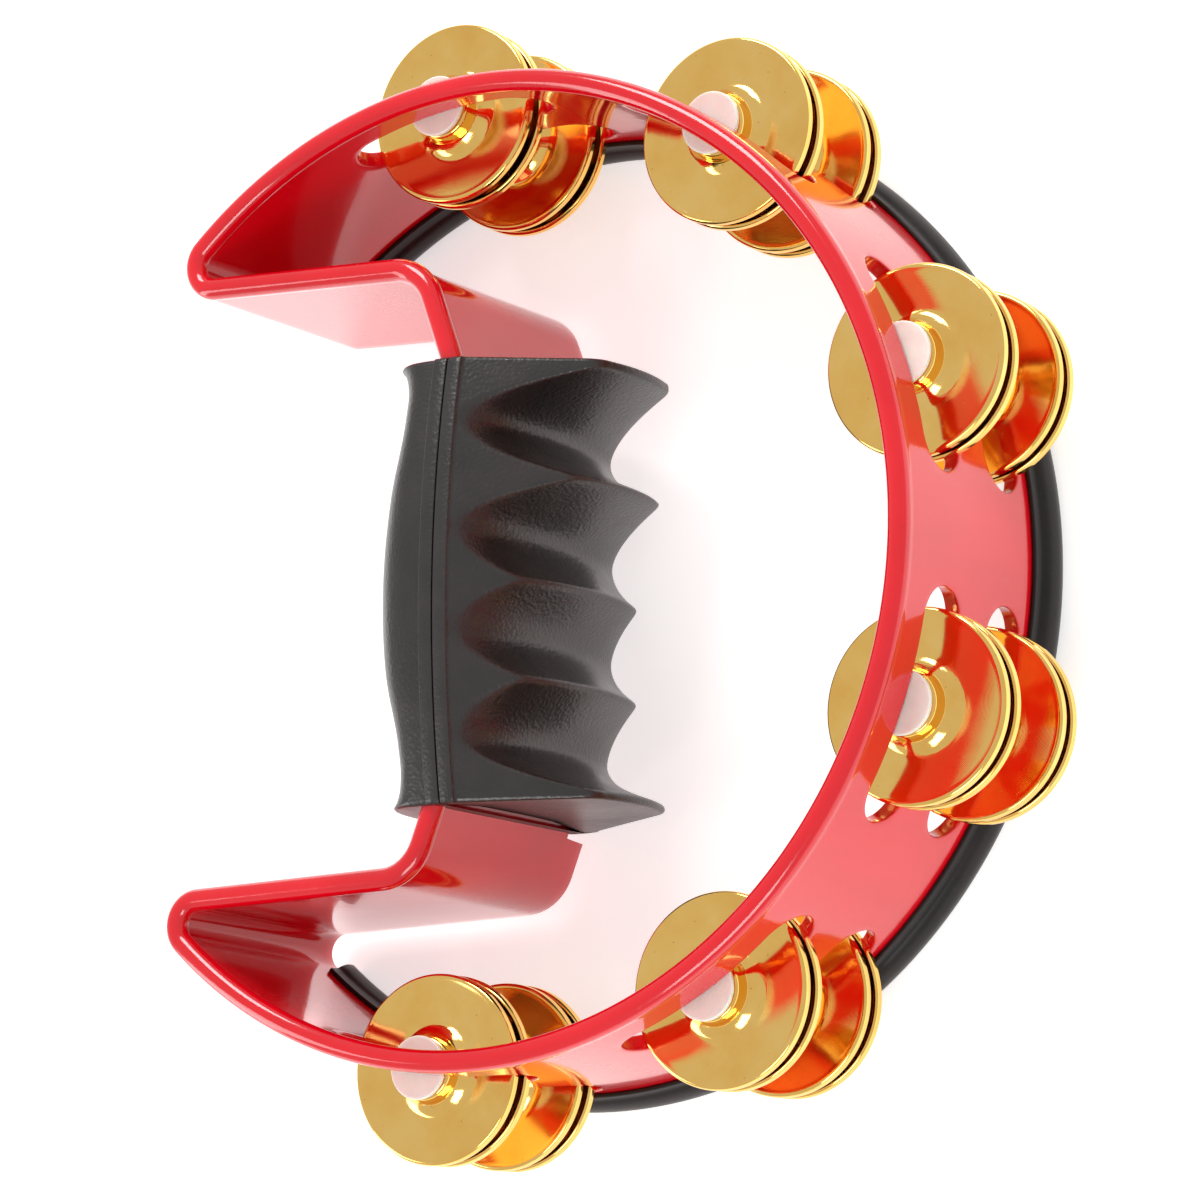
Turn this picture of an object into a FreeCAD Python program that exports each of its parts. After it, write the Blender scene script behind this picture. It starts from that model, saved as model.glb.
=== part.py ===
"""Crescent tambourine with a moulded hand grip: FreeCAD macro, millimetres.

The instrument lies flat: +Z runs along the jingle pins, from the rubber edge
bumper that it rests on to the front rim. Each sub-part is drawn with the rim's arc
centred on its own Z axis, the arc on the +X side and the hand grip near X = 0; its
Placement then moves it by arc_centre, so that the origin of the whole instrument is
the middle of its foot print.
"""
import FreeCAD, Part
import math
import os
import Sketcher

Vector = FreeCAD.Vector

SIZES = {
    # where the axis of the rim's arc stands
    "arc_centre": -26.6,
    # frame: centre line of the front bead, seen along Z
    "rim_radius": 125.0,
    "bead_radius": 2.9,
    "bead_height": 74.2,
    "wall_outside": 2.75,
    "wall_inside": 1.5,
    "back_height": 5.5,
    "back_flare": 1.015,
    "tip_radius": 6.5,
    "arm_slope": 2.4,
    "arm_bend_x": -13.0,
    "arm_bend_y": 78.5,
    "arm_bend_radius": 13.0,
    "handle_x": -1.5,
    "handle_bend_y": 48.0,
    "handle_bend_radius": 40.0,
    "web_back": 14.0,
    "web_notch": 16.0,
    "notch_gap": 0.3,
    # jingle slots and pins
    "station_first": 19.6,
    "station_step": 39.2,
    "row_high": 55.2,
    "row_low": 24.7,
    "slot_width": 16.8,
    "slot_half_angle": 13.6,
    "pin_circle": 126.55,
    "pin_radius": 1.0,
    "pin_bottom": 7.5,
    "pin_length": 60.0,
    "pin_clearance": 0.03,
    # one jingle: a flat plate with its edge curled back and a cup in its middle,
    # heights counted from the top of the plate
    "jingle_radius": 24.25,
    "sheet": 0.7,
    "curl": 1.1,
    "cup_foot": 12.1,
    "cup_slope": 8.7,
    "slope_height": 2.4,
    "cup_neck": 8.2,
    "cup_height": 6.4,
    "jingle_hole": 3.6,
    # the pair in a slot: tops of the plates, counted from the slot's middle
    "front_plate": -0.6,
    "back_plate": -6.3,
    # nylon bushes: a flange in front of each jingle and a stem through it
    "front_flange_radius": 8.05,
    "back_flange_radius": 6.0,
    "bush_stem": 3.2,
    "bush_bore": 1.07,
    "front_flange": 7.4,
    "back_flange": 6.75,
    "flange": 1.3,
    "front_stem": 4.4,
    "back_stem": 8.1,
    # rubber bumper
    "bumper_centre": 127.9,
    "bumper_radius": 6.0,
    "bumper_flat": 5.7,
    "bumper_lip": 13.0,
    "lip_thickness": 1.3,
    "bumper_gap": 0.1,
    "bumper_half_angle": 131.0,
    # rubber grip
    "grip_top": 52.5,
    "grip_bottom": -61.5,
    "grip_middle": 44.0,
    "grip_front": 79.3,
    "front_swell": 5.2,
    "grip_back": 10.6,
    "back_swell": 2.6,
    "lip_width": 4.0,
    "lip_rise": 1.3,
    "grip_gap": 0.15,
    "seam_gap": 0.15,
    "finger_reach": 35.8,
    "finger_corner": 31.0,
    "finger_corner_rise": 16.5,
    "groove_axis": -84.3,
    "groove_floor": 95.8,
    "palm_reach": 25.0,
    "palm_waist": 19.5,
    "palm_flange": 23.5,
}

ROWS = {"high": "row_high", "low": "row_low"}
PLATES = {"front": "front_plate", "back": "back_plate"}
STATIONS = 6
# crests between the finger grooves: place along the handle, height over the groove floor
CRESTS = ((50.5, 26.0), (21.0, 19.5), (-5.2, 11.5), (-30.2, 12.3), (-58.0, 24.0))
# how the scoop between two crests rises from its floor: shares of its half width
SCOOP_POWER = 1.6
SCOOP_STEPS = (0.8, 0.6, 0.4, 0.2, 0.0)

doc = FreeCAD.newDocument("tambourine")
sheet = doc.addObject("Spreadsheet::Sheet", "Sizes")
for row, (alias, value) in enumerate(SIZES.items(), start=1):
    sheet.set("A%d" % row, alias)
    sheet.set("B%d" % row, repr(value))
    sheet.setAlias("B%d" % row, alias)
doc.recompute()


def size(alias):
    """A driving dimension, read back from the sheet."""
    return float(sheet.get(alias))


# ---------------------------------------------------------------- helpers
def new_body(name):
    body = doc.addObject("PartDesign::Body", name)
    body.Label = name
    return body


def origin_feature(body, role):
    return next(item for item in body.Origin.OriginFeatures if item.Role == role)


def new_sketch(body, name, plane, offset=None):
    sketch = body.newObject("Sketcher::SketchObject", name)
    sketch.AttachmentSupport = [(origin_feature(body, plane), "")]
    sketch.MapMode = "FlatFace"
    if offset is not None:
        sketch.AttachmentOffset = offset
    return sketch


def raised(height):
    return FreeCAD.Placement(Vector(0, 0, height), FreeCAD.Rotation())


def bound_polygon(sketch, corners):
    """Closed polygon whose corners are pairs of expressions over the sheet."""
    points = []
    for across, along in corners:
        points.append(Vector(sheet.evalExpression(across), sheet.evalExpression(along), 0))
    count = len(points)
    for index in range(count):
        sketch.addGeometry(Part.LineSegment(points[index], points[(index + 1) % count]), False)
    for index in range(count):
        following = (index + 1) % count
        sketch.addConstraint(Sketcher.Constraint("Coincident", index, 2, following, 1))
    for index, (across, along) in enumerate(corners):
        for kind, expression, value in (("DistanceX", across, points[index].x),
                                        ("DistanceY", along, points[index].y)):
            number = sketch.addConstraint(Sketcher.Constraint(kind, -1, 1, index, 1, value))
            sketch.setExpression("Constraints[%d]" % number, over_sheet(expression))


def over_sheet(expression):
    """Write each alias in an expression as a cell of the sheet."""
    words = []
    for word in expression.split(" "):
        bare = word.strip("()")
        words.append(word.replace(bare, "Sizes." + bare) if bare in SIZES else word)
    return " ".join(words)


def revolve(body, sketch, name, angle=None, kind="Revolution"):
    """Turn a profile about Z; with an angle, equally to both sides of the XZ plane."""
    feature = body.newObject("PartDesign::" + kind, name)
    feature.Profile = sketch
    feature.ReferenceAxis = (origin_feature(body, "Z_Axis"), [""])
    if angle is None:
        feature.Angle = 360.0
    else:
        feature.Midplane = True
        feature.setExpression("Angle", angle)
    sketch.Visibility = False
    return feature


# ---------------------------------------------------------------- frame
def rounded(corner, before, after, radius):
    """Start, middle and end of the arc that rounds a corner between two directions."""
    turn = math.acos(max(-1.0, min(1.0, before.dot(after))))
    reach = radius * math.tan(turn / 2)
    inward = (after - before).normalize()
    middle = corner + inward * (radius / math.cos(turn / 2) - radius)
    return corner - before * reach, middle, corner + after * reach


def upper_outline(offset):
    """Upper half of the frame's closed outline, from the tip to the handle.

    offset moves the line outwards, away from the space that the loop encloses.
    """
    slope = math.radians(size("arm_slope"))
    along_arm = Vector(math.cos(slope), -math.sin(slope), 0)
    bend = Vector(size("arm_bend_x"), size("arm_bend_y"), 0)
    handle = Vector(size("handle_x"), size("handle_bend_y"), 0)
    down_arm = (handle - bend).normalize()
    down = Vector(0, -1, 0)

    def outward(direction):
        return Vector(direction.y, -direction.x, 0)

    def meet(first, first_way, second, second_way):
        gap = second - first
        cross = first_way.x * second_way.y - first_way.y * second_way.x
        return first + first_way * ((gap.x * second_way.y - gap.y * second_way.x) / cross)

    arm_line = bend + outward(along_arm) * offset
    down_line = bend + outward(down_arm) * offset
    handle_line = handle + outward(down) * offset
    bend = meet(arm_line, along_arm, down_line, down_arm)
    handle = meet(down_line, down_arm, handle_line, down)
    bend_arc = rounded(bend, along_arm, down_arm, size("arm_bend_radius") - offset)
    handle_arc = rounded(handle, down_arm, down, size("handle_bend_radius") - offset)
    return along_arm, bend_arc, handle_arc


def tip_centre(along_arm, bend):
    """Centre of the tip's rounding: on the rim's inside and on the arm's inside."""
    reach = size("rim_radius") - size("tip_radius")
    normal = Vector(-along_arm.y, along_arm.x, 0)
    level = normal.dot(bend) + size("tip_radius")
    # the point at distance reach from the axis and level from the arm line
    across = -math.sqrt(reach ** 2 - level ** 2)
    return normal * level + along_arm * across


def frame_outline(offset, scale=1.0):
    """Arcs and lines of the whole closed outline, moved outwards by offset."""
    along_arm, bend_arc, handle_arc = upper_outline(offset)
    bend = Vector(size("arm_bend_x"), size("arm_bend_y"), 0)
    centre = tip_centre(along_arm, bend)
    radius = size("tip_radius") + offset
    normal = Vector(-along_arm.y, along_arm.x, 0)
    tip_rim = centre + Vector(centre).normalize() * radius
    tip_arm = centre - normal * radius
    towards_tip = (tip_rim + tip_arm) * 0.5 - centre
    tip_middle = centre + towards_tip.normalize() * radius
    half = [("arc", tip_rim, tip_middle, tip_arm),
            ("line", tip_arm, bend_arc[0]),
            ("arc",) + bend_arc,
            ("line", bend_arc[2], handle_arc[0]),
            ("arc",) + handle_arc]

    def mirrored(point):
        return Vector(point.x, -point.y, 0)

    pieces = [("arc", mirrored(tip_rim), Vector(size("rim_radius") + offset, 0, 0), tip_rim)]
    pieces += half
    pieces.append(("line", handle_arc[2], mirrored(handle_arc[2])))
    for piece in reversed(half):
        pieces.append((piece[0],) + tuple(mirrored(point) for point in reversed(piece[1:])))
    shapes = []
    for piece in pieces:
        points = [point * scale for point in piece[1:]]
        shapes.append(Part.Arc(*points) if piece[0] == "arc" else Part.LineSegment(*points))
    return shapes


def outline_sketch(body, name, offset, height, scale=1.0):
    sketch = new_sketch(body, name, "XY_Plane", raised(height))
    for shape in frame_outline(offset, scale):
        sketch.addGeometry(shape, False)
    sketch.Visibility = False
    return sketch


def loft(body, kind, name, front, back):
    feature = body.newObject("PartDesign::" + kind, name)
    feature.Profile = front
    feature.Sections = [back]
    feature.Ruled = True
    return feature


def slot_sketch(body, name, angle, inner):
    """Both rows' slots at one station, drawn on a plane square to its radius."""
    turn = FreeCAD.Rotation(Vector(0, 1, 0), angle)
    place = FreeCAD.Placement(turn.multVec(Vector(0, 0, inner)), turn)
    sketch = new_sketch(body, name, "YZ_Plane", place)
    radius = size("slot_width") / 2
    reach = size("rim_radius") * math.sin(math.radians(size("slot_half_angle"))) - radius
    for alias in ROWS.values():
        height = size(alias)
        for sign in (-1, 1):
            left = Vector(-reach * sign, height + radius * sign, 0)
            right = Vector(reach * sign, height + radius * sign, 0)
            end = Vector((reach + radius) * sign, height, 0)
            below = Vector(reach * sign, height - radius * sign, 0)
            sketch.addGeometry(Part.LineSegment(left, right), False)
            sketch.addGeometry(Part.Arc(right, end, below), False)
    sketch.Visibility = False
    return sketch


def stations():
    """Angle of every jingle station, from the lower tip round to the upper."""
    first = size("station_first") - size("station_step") * STATIONS / 2
    return [first + size("station_step") * index for index in range(STATIONS)]


def make_frame():
    """One plastic moulding: wall, front bead, handle web, slots and pin bores."""
    body = new_body("frame")
    bead = size("bead_radius")
    front = size("bead_height")
    back = size("back_height")
    flare = size("back_flare")
    loft(body, "AdditiveLoft", "wall_outside",
         outline_sketch(body, "outside_front", size("wall_outside"), front),
         outline_sketch(body, "outside_back", size("wall_outside"), back, flare))
    loft(body, "SubtractiveLoft", "wall_inside",
         outline_sketch(body, "inside_front", -size("wall_inside"), front),
         outline_sketch(body, "inside_back", -size("wall_inside"), back, flare))

    spine = outline_sketch(body, "bead_path", 0.0, front)
    section = new_sketch(body, "bead_section", "XZ_Plane")
    middle = Vector(size("rim_radius"), front, 0)
    section.addGeometry(Part.Circle(middle, Vector(0, 0, 1), bead), False)
    number = section.addConstraint(Sketcher.Constraint("Radius", 0, bead))
    section.setExpression("Constraints[%d]" % number, "Sizes.bead_radius")
    section.Visibility = False
    doc.recompute()
    pipe = body.newObject("PartDesign::AdditivePipe", "front_bead")
    pipe.Profile = section
    pipe.Spine = spine
    doc.recompute()

    inner = size("rim_radius") - 4 * bead
    for number, angle in enumerate(stations(), start=1):
        pocket = body.newObject("PartDesign::Pocket", "slots_%d" % number)
        pocket.Profile = slot_sketch(body, "slot_outline_%d" % number, angle, inner)
        pocket.Reversed = True
        pocket.Length = 8 * bead
    bores = new_sketch(body, "pin_bores", "XY_Plane")
    for index, angle in enumerate(stations()):
        place = pin_place(angle, 0.0)
        radius = size("pin_radius") + size("pin_clearance")
        bores.addGeometry(Part.Circle(place, Vector(0, 0, 1), radius), False)
        number = bores.addConstraint(Sketcher.Constraint("Radius", index, radius))
        bores.setExpression("Constraints[%d]" % number, "Sizes.pin_radius + Sizes.pin_clearance")
    bores.Visibility = False
    pocket = body.newObject("PartDesign::Pocket", "bores")
    pocket.Profile = bores
    pocket.Reversed = True
    pocket.setExpression("Length", "Sizes.pin_bottom + Sizes.pin_length + 0.5")
    cut_web_back(body)
    return body


def cut_web_back(body):
    """The handle web is shallower inside the grip, which closes behind it."""
    notch = new_sketch(body, "web_notch_outline", "XY_Plane")
    reach = "web_notch"
    low = "grip_bottom - notch_gap"
    high = "grip_top + notch_gap"
    bound_polygon(notch, [("-1 * " + reach, low), (reach, low), (reach, high),
                          ("-1 * " + reach, high)])
    notch.Visibility = False
    pocket = body.newObject("PartDesign::Pocket", "web_notch_cut")
    pocket.Profile = notch
    pocket.Reversed = True
    pocket.setExpression("Length", "Sizes.web_back")


# ---------------------------------------------------------------- pins, bushes, jingles
def pin_place(angle, height):
    turn = math.radians(angle)
    circle = size("pin_circle")
    return Vector(circle * math.cos(turn), circle * math.sin(turn), height)


def make_pin(name, angle):
    """Steel pin through one station's two slots."""
    pin = doc.addObject("Part::Cylinder", name)
    pin.Label = name
    pin.setExpression("Radius", "Sizes.pin_radius")
    pin.setExpression("Height", "Sizes.pin_length")
    pin.Placement = FreeCAD.Placement(pin_place(angle, size("pin_bottom")), FreeCAD.Rotation())
    return pin


def slot_place(angle, row, member):
    """Where a jingle or its bush goes: on the pin, at the height of its plate."""
    height = size(ROWS[row]) + size(PLATES[member])
    turn = FreeCAD.Rotation(Vector(0, 0, 1), angle)
    return FreeCAD.Placement(pin_place(angle, height), turn)


def make_jingle(name):
    """Brass plate with a curled edge and a steep-sided cup towards the front."""
    body = new_body(name)
    sketch = new_sketch(body, name + "_profile", "XZ_Plane")
    front = [("jingle_radius", "-1 * curl"),
             ("jingle_radius - sheet * 0.15", "-1 * sheet"),
             ("jingle_radius - sheet * 0.7", "-1 * sheet * 0.3"),
             ("jingle_radius - sheet * 1.7", "0"),
             ("cup_foot", "0"),
             ("cup_slope + ( cup_foot - cup_slope ) * 0.45", "slope_height * 0.42"),
             ("cup_slope", "slope_height"),
             ("cup_neck", "cup_height - sheet * 0.8"),
             ("cup_neck - sheet * 0.4", "cup_height - sheet * 0.2"),
             ("cup_neck - sheet * 1.2", "cup_height"),
             ("jingle_hole", "cup_height")]
    back = [("jingle_hole", "cup_height - sheet"),
            ("cup_neck - sheet * 1.3", "cup_height - sheet"),
            ("cup_neck - sheet", "cup_height - sheet * 1.4"),
            ("cup_slope - sheet * 0.9", "slope_height - sheet * 0.5"),
            ("cup_slope + ( cup_foot - cup_slope ) * 0.4", "slope_height * 0.42 - sheet"),
            ("cup_foot - sheet * 0.2", "-1 * sheet"),
            ("jingle_radius - sheet * 1.9", "-1 * sheet"),
            ("jingle_radius - sheet", "-1 * curl")]
    bound_polygon(sketch, front + back)
    revolve(body, sketch, name + "_turned")
    return body


def make_bush(name, member):
    """Nylon bush: a flange in front of the jingle's cup and a stem through its hole."""
    body = new_body(name)
    sketch = new_sketch(body, name + "_profile", "XZ_Plane")
    under = member + "_flange"
    radius = member + "_flange_radius"
    top = under + " + flange"
    foot = under + " - " + member + "_stem"
    bound_polygon(sketch, [("bush_bore", foot), ("bush_stem", foot), ("bush_stem", under),
                           (radius, under), (radius, top), ("bush_bore", top)])
    revolve(body, sketch, name + "_turned")
    return body


# ---------------------------------------------------------------- bumper
def make_bumper():
    """Rubber channel over the back rim: a bulb with two lips, and the wall's groove."""
    body = new_body("edge_bumper")
    bulb = new_sketch(body, "bulb", "XZ_Plane")
    radius = size("bumper_radius")
    height = size("bumper_flat")
    sag = math.sqrt(radius ** 2 - height ** 2)
    centre = size("bumper_centre")
    left = Vector(centre - sag, 0, 0)
    right = Vector(centre + sag, 0, 0)
    bulb.addGeometry(Part.LineSegment(left, right), False)
    bulb.addGeometry(Part.Arc(right, Vector(centre, height + radius, 0), left), False)
    revolve(body, bulb, "bulb_swept", "2 * Sizes.bumper_half_angle")

    def wall(offset, height_cell, gap):
        return ("( rim_radius + %s ) * ( 1 + ( back_flare - 1 ) * ( bead_height - %s )"
                " / ( bead_height - back_height ) ) + %s" % (offset, height_cell, gap))

    lips = new_sketch(body, "lips", "XZ_Plane")
    bound_polygon(lips, [(wall("wall_outside", "bumper_flat", "lip_thickness"), "bumper_flat"),
                         (wall("wall_outside", "bumper_lip", "lip_thickness"), "bumper_lip"),
                         (wall("-1 * wall_inside", "bumper_lip", "-1 * lip_thickness"),
                          "bumper_lip"),
                         (wall("-1 * wall_inside", "bumper_flat", "-1 * lip_thickness"),
                          "bumper_flat")])
    revolve(body, lips, "lips_swept", "2 * Sizes.bumper_half_angle")

    groove = new_sketch(body, "groove", "XZ_Plane")
    floor = "back_height - bumper_gap"
    top = "bumper_lip + 1"
    bound_polygon(groove, [(wall("wall_outside", "back_height", "bumper_gap"), floor),
                           (wall("wall_outside", "bumper_lip", "bumper_gap"), top),
                           (wall("-1 * wall_inside", "bumper_lip", "-1 * bumper_gap"), top),
                           (wall("-1 * wall_inside", "back_height", "-1 * bumper_gap"), floor)])
    doc.recompute()
    revolve(body, groove, "groove_cut", "2 * Sizes.bumper_half_angle + 2", "Groove")
    return body


# ---------------------------------------------------------------- grip
def grip_bulge(place):
    """How far the grip's swell has risen at a place along the handle, 0 to 1."""
    middle = (size("grip_top") + size("grip_bottom")) / 2
    half = (size("grip_top") - size("grip_bottom")) / 2
    return 1 - ((place - middle) / half) ** 2


def grip_levels(place):
    """Front and back height of the grip's seam at a place along the handle."""
    bulge = grip_bulge(place)
    front = size("grip_front") + size("front_swell") * bulge
    return front, size("grip_back") - size("back_swell") * bulge


def section_sketch(body, name, place):
    """A sketch square to the handle, X across and Z up."""
    sketch = new_sketch(body, name, "XZ_Plane", raised(-place))
    sketch.Visibility = False
    return sketch


def draw_chain(sketch, curves):
    for curve in curves:
        sketch.addGeometry(curve, False)


def finger_section(body, name, place):
    """Seam lips, flat faces that slope to rounded corners, and a bowed side."""
    sketch = section_sketch(body, name, place)
    front, back = grip_levels(place)
    seam = size("handle_x") + size("seam_gap")
    lip = seam + size("lip_width")
    drop = size("lip_rise")
    middle = size("grip_middle")
    corner = size("finger_corner")
    rise = size("finger_corner_rise")
    high = Vector(corner, middle + rise, 0)
    low = Vector(corner, middle - rise, 0)
    points = [low, Vector(lip + drop / 2, back + drop, 0), Vector(lip, back, 0),
              Vector(seam, back, 0), Vector(seam, front, 0), Vector(lip, front, 0),
              Vector(lip + drop / 2, front - drop, 0), high]
    lines = [Part.LineSegment(first, second) for first, second in zip(points, points[1:])]
    draw_chain(sketch, [Part.Arc(high, Vector(size("finger_reach"), middle, 0), low)] + lines)
    return sketch


def palm_section(body, name, place, reach):
    """Half an oval between the seam lips."""
    sketch = section_sketch(body, name, place)
    front, back = grip_levels(place)
    seam = size("handle_x") - size("seam_gap")
    lip = seam - size("lip_width")
    drop = size("lip_rise")
    middle = (front + back) / 2
    half = (front - back) / 2
    shoulder = 0.72
    width = reach * 0.83
    points = [Vector(lip - drop / 2, front - drop, 0),
              Vector(seam - width, middle + half * shoulder, 0),
              Vector(seam - reach, middle, 0),
              Vector(seam - width, middle - half * shoulder, 0),
              Vector(lip - drop / 2, back + drop, 0)]
    oval = Part.BSplineCurve()
    oval.interpolate(points)
    seam_side = [points[-1], Vector(lip, back, 0), Vector(seam, back, 0),
                 Vector(seam, front, 0), Vector(lip, front, 0), points[0]]
    lines = [Part.LineSegment(first, second) for first, second in zip(seam_side, seam_side[1:])]
    draw_chain(sketch, [oval] + lines)
    return sketch


def loft_through(body, name, sketches):
    feature = body.newObject("PartDesign::AdditiveLoft", name)
    feature.Profile = sketches[0]
    feature.Sections = sketches[1:]
    doc.recompute()
    return feature


def ring_sketch(body, name, outer, inner, height, scale=1.0):
    """The band between two offsets of the frame's outline."""
    sketch = outline_sketch(body, name, outer, height, scale)
    for shape in frame_outline(inner, scale):
        sketch.addGeometry(shape, False)
    return sketch


def cut_core(body):
    """Room for the handle web and its bead, which the shell closes on."""
    gap = size("grip_gap")
    name = body.Name
    outer = size("wall_outside") + gap
    inner = -size("wall_inside") - gap
    depth = size("bead_height") - size("web_back")
    scale = 1 + (size("back_flare") - 1) * depth / (size("bead_height") - size("back_height"))
    loft(body, "SubtractiveLoft", name + "_web_room",
         ring_sketch(body, name + "_web_front", outer, inner, size("bead_height")),
         ring_sketch(body, name + "_web_back", outer, inner, size("web_back") - gap, scale))
    reach = size("bead_radius") + gap
    pocket = body.newObject("PartDesign::Pocket", name + "_bead_room")
    pocket.Profile = ring_sketch(body, name + "_bead", reach, -reach, size("bead_height") + reach)
    pocket.Length = 2 * reach


def make_palm_shell():
    body = new_body("grip_palm_shell")
    top = size("grip_top")
    bottom = size("grip_bottom")
    waist = size("palm_waist")
    flange = size("palm_flange")
    plan = ((top, flange), (top - 4, waist + 1.5), (top - 10, waist), (-8, size("palm_reach")),
            (bottom + 10, waist), (bottom + 4, waist + 1.5), (bottom, flange))
    sketches = []
    for number, (place, reach) in enumerate(plan, start=1):
        sketches.append(palm_section(body, "palm_section_%d" % number, place, reach))
    loft_through(body, "palm_loft", sketches)
    cut_core(body)
    return body


def make_finger_shell():
    body = new_body("grip_finger_shell")
    top = size("grip_top")
    bottom = size("grip_bottom")
    steps = 4
    sketches = []
    for number in range(steps + 1):
        place = top + (bottom - top) * number / steps
        sketches.append(finger_section(body, "finger_section_%d" % number, place))
    loft_through(body, "finger_loft", sketches)
    cut_core(body)
    cut_grooves(body)
    return body


def scoop_side(crest, middle, floor):
    """Points from a crest down to the floor of the groove beside it."""
    points = []
    for share in SCOOP_STEPS:
        rise = (crest.x - floor) * share ** SCOOP_POWER
        points.append(Vector(floor + rise, middle + (crest.y - middle) * share, 0))
    return points


def cut_grooves(body):
    """Four finger grooves, scooped round an axis behind the palm."""
    sketch = new_sketch(body, "groove_profile", "XY_Plane", raised(size("grip_middle")))
    axis = size("groove_axis")
    floor = axis + size("groove_floor")
    outer = floor + 40
    points = [Vector(floor + height, place, 0) for place, height in CRESTS]
    for first, second in zip(points, points[1:]):
        middle = (first.y + second.y) / 2
        scoop = Part.BSplineCurve()
        scoop.interpolate([first] + scoop_side(first, middle, floor)
                          + scoop_side(second, middle, floor)[-2::-1] + [second])
        sketch.addGeometry(scoop, False)
    sketch.addGeometry(Part.LineSegment(points[-1], Vector(outer, points[-1].y, 0)), False)
    sketch.addGeometry(Part.LineSegment(Vector(outer, points[-1].y, 0),
                                        Vector(outer, points[0].y, 0)), False)
    sketch.addGeometry(Part.LineSegment(Vector(outer, points[0].y, 0), points[0]), False)
    line = Part.LineSegment(Vector(axis, -10, 0), Vector(axis, 10, 0))
    sketch.addGeometry(line, True)
    sketch.Visibility = False
    groove = body.newObject("PartDesign::Groove", "finger_grooves")
    groove.Profile = sketch
    groove.ReferenceAxis = (sketch, ["Axis0"])
    groove.Midplane = True
    groove.Angle = 180.0


# ---------------------------------------------------------------- assembly
def build():
    parts = [make_frame(), make_bumper(), make_palm_shell(), make_finger_shell()]
    for number, angle in enumerate(stations(), start=1):
        parts.append(make_pin("pin_%d" % number, angle))
        for row in ROWS:
            for member in PLATES:
                ending = "_%d_%s_%s" % (number, row, member)
                jingle = make_jingle("jingle" + ending)
                bush = make_bush("bush" + ending, member)
                for piece in (jingle, bush):
                    piece.Placement = slot_place(angle, row, member)
                    parts.append(piece)
    for piece in parts:
        piece.Placement.Base.x += size("arc_centre")
    doc.recompute()
    return parts


def check(parts):
    """Stop if any object failed, or a sub-part is empty or not one sound solid."""
    for item in doc.Objects:
        if "Invalid" in item.State or "Error" in item.State:
            raise RuntimeError("%s failed: %s" % (item.Name, item.State))
    for part in parts:
        if part.Shape.isNull() or not part.Shape.isValid() or len(part.Shape.Solids) != 1:
            raise RuntimeError("%s is not one sound solid" % part.Label)


parts = build()
check(parts)
os.makedirs("parts", exist_ok=True)
for part in parts:
    part.Shape.exportStep(os.path.join("parts", part.Label + ".step"))
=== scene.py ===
import math

import bmesh
import bpy
import numpy as np
from mathutils import Matrix, Vector


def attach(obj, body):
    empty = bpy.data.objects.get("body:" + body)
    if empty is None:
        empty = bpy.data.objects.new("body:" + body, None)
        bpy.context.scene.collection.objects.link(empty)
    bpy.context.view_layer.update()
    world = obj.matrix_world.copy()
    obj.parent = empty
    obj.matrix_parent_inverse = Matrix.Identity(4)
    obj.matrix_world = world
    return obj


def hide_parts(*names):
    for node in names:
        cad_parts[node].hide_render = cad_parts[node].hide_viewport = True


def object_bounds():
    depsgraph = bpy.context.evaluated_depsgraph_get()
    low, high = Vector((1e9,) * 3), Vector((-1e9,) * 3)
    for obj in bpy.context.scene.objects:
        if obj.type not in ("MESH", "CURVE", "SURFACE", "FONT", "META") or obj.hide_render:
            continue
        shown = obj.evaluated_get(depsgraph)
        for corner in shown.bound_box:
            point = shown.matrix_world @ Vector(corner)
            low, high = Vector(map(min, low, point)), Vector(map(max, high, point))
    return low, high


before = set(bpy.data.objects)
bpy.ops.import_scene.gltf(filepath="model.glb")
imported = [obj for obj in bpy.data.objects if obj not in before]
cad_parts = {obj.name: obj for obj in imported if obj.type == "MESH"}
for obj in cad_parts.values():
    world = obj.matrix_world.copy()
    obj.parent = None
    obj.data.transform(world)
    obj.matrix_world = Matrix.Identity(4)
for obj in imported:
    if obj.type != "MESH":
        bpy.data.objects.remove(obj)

CAD_BOX = [list(corner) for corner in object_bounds()]

MM = 0.001
MATCH_M = 2e-6           # points closer than this are one point

# Sizes in mm and angles in degrees, as the CAD model has them. The shapes are drawn
# with the axis of the rim's arc at X = 0 and moved to ARC_CENTRE at the end.
ARC_CENTRE = -26.6
FIT = 0.99999            # keeps the round outlines inside the CAD model's faceted box

# the band, seen along Z: its middle line, the bead on its front and its two skins
RIM = 125.0
BEAD = 2.9
BEAD_Z = 74.2
OUTSIDE = 2.75
INSIDE = 1.5
BACK_Z = 5.5
BACK_EDGE = 0.6
FLARE = 0.015
TIP = 6.5
ARM_SLOPE = 2.4
ARM_BEND = np.array((-13.0, 78.5))
ARM_BEND_R = 13.0
HANDLE = np.array((-1.5, 48.0))
HANDLE_R = 40.0
# the handle web is cut back to WEB_BACK between the ends of the grip
WEB_BACK = 14.0
WEB_REACH = 16.0
NOTCH_GAP = 0.3
GRIP_TOP = 52.5
GRIP_BOTTOM = -61.5
# the slots: each stands in the middle of its own cell of the band
STATIONS = [-98.0 + 39.2 * index for index in range(6)]
HALF_CELL = 19.6
ROWS = {"high": 55.2, "low": 24.7}
CELL_Z = (9.45, 39.95, 70.45)
CELL_TOP = 48            # steps along a cell
CELL_SIDE = 24           # steps up a cell
CELL_SHARES = (0.0, 0.12, 0.3, 0.55, 0.8, 1.0)
SLOT_R = 8.4
SLOT_REACH = 21.0
SLOT_EDGE = 0.6
# the pins, and the tops of the two plates of a pair, from the middle of their slot
PIN_CIRCLE = 126.55
PLATES = {"front": -0.6, "back": -6.3}


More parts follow.
